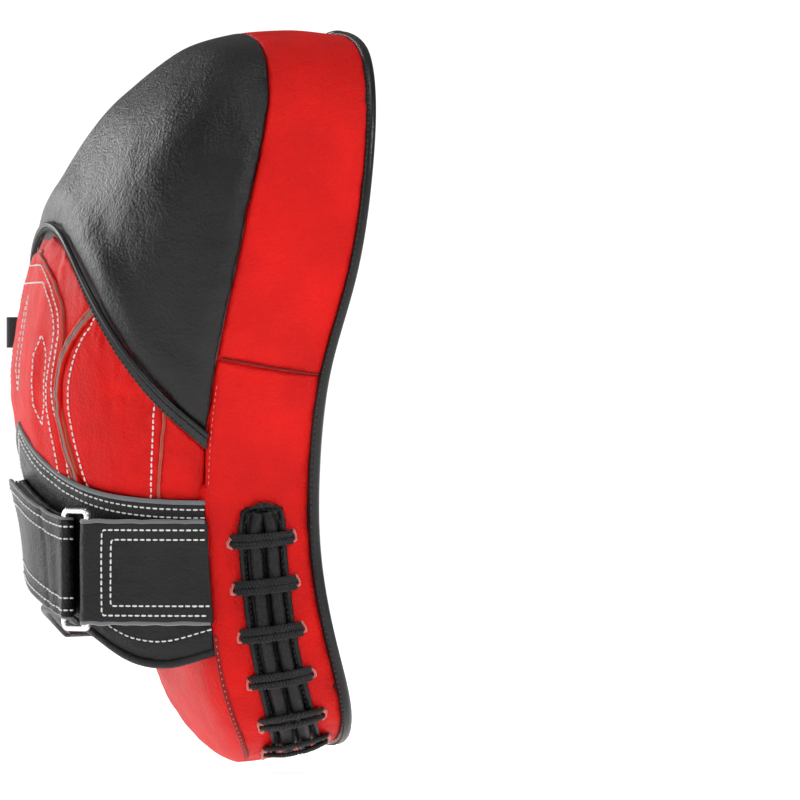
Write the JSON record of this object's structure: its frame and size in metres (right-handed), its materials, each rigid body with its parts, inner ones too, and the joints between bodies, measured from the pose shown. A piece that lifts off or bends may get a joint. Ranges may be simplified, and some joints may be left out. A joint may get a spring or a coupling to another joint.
{
  "type": "focus mitt",
  "caption": "Curved leather focus mitt with a padded striking face, finger hood, glove back, laced edge and a wrist strap that closes through a metal ring.",
  "frame": {"origin": "middle of the wrist opening, where the hand goes in and comes out", "axes": "+Z along the hand towards the fingertips, -Y out of the striking face, +Y out of the back of the hand, -X towards the laced edge, +X towards the thumb"},
  "size_m": [0.1994, 0.1296, 0.2883],
  "materials": {
    "red_leather": "grained, satin, full red",
    "black_leather": "grained, satin",
    "black_trim": "smooth synthetic trim, matte",
    "lining_cloth": "plain woven lining",
    "foam": "closed-cell foam, matte",
    "lace_cord": "round braided cord",
    "hook_and_loop": "hook-and-loop tape",
    "ring_metal": "bright nickel plate, slightly worn"
  },
  "bodies": {
    "mitt": {"back_panel": "red_leather", "cuff_lining": "lining_cloth", "cuff_outer": "black_leather", "cuff_padding": "foam", "edge_band_lower": "red_leather", "edge_band_upper": "red_leather", "face_panel": "black_leather", "foam_back": "foam", "foam_core": "foam", "foam_strike": "foam", "glove_back": "red_leather", "glove_edge_strip_laced": "red_leather", "glove_edge_strip_thumb": "red_leather", "glove_side_laced": "red_leather", "glove_side_thumb": "red_leather", "glove_welt_laced": "red_leather", "glove_welt_thumb": "red_leather", "heel_cover": "red_leather", "heel_pad": "foam", "hood_binding": "black_trim", "hood_foam": "foam", "hood_lining": "lining_cloth", "hood_piping": "black_trim", "hood_shell": "black_leather", "knuckle_patch": "red_leather", "lace_strand_lower": "lace_cord", "lace_strand_upper": "lace_cord", "lacing_facing": "black_leather", "lacing_roll_back": "black_leather", "lacing_roll_front": "black_leather", "loop_patch": "hook_and_loop", "palm_grip": "red_leather", "rim_binding": "black_trim", "ring_tab": "black_leather", "stall_index": "lining_cloth", "stall_little": "lining_cloth", "stall_middle": "lining_cloth", "stall_ring": "lining_cloth", "stall_thumb": "lining_cloth", "strap_base": "black_leather", "thumb_tab": "black_trim"},
    "ring": {"ring": "ring_metal"},
    "strap": {"strap_end": "black_leather", "hook_patch": "hook_and_loop"}
  },
  "joints": [
    {"name": "ring_swing", "type": "hinge", "parent": "mitt", "child": "ring", "pos_m": [-0.04777, 0.0169, 0.0294], "axis": [0, 0, 1], "range_deg": [0, 25]},
    {"name": "strap_peel", "type": "hinge", "parent": "ring", "child": "strap", "pos_m": [-0.03725, 0.02384, 0.0294], "axis": [0, 0, 1], "range_deg": [0, 140]}
  ]
}
